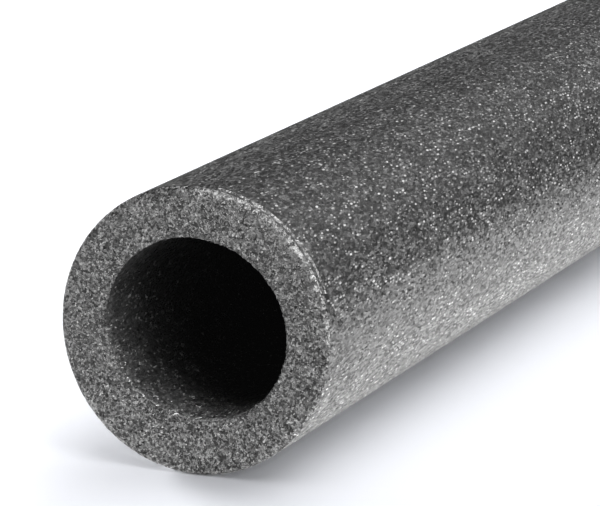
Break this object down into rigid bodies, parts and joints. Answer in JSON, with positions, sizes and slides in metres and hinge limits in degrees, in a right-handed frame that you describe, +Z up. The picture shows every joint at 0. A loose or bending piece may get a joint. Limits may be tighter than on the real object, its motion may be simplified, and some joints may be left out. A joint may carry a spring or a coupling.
{
  "type": "pipe insulation lagging",
  "caption": "Straight length of grey closed-cell foam pipe lagging: a thick-walled tube with a through bore that slides over a heating pipe to keep it warm.",
  "frame": {"origin": "on the floor, under the middle of the tube as it lies on its side", "axes": "+X along the tube's length, +Y across it, +Z up"},
  "size_m": [1, 0.0542, 0.0537],
  "materials": {
    "foam": "closed-cell polyethylene foam: a matt grey skin with fine glinting cells, and open cut cells on the two ends"
  },
  "bodies": {
    "root": {"foam_tube": "foam"}
  },
  "joints": []
}
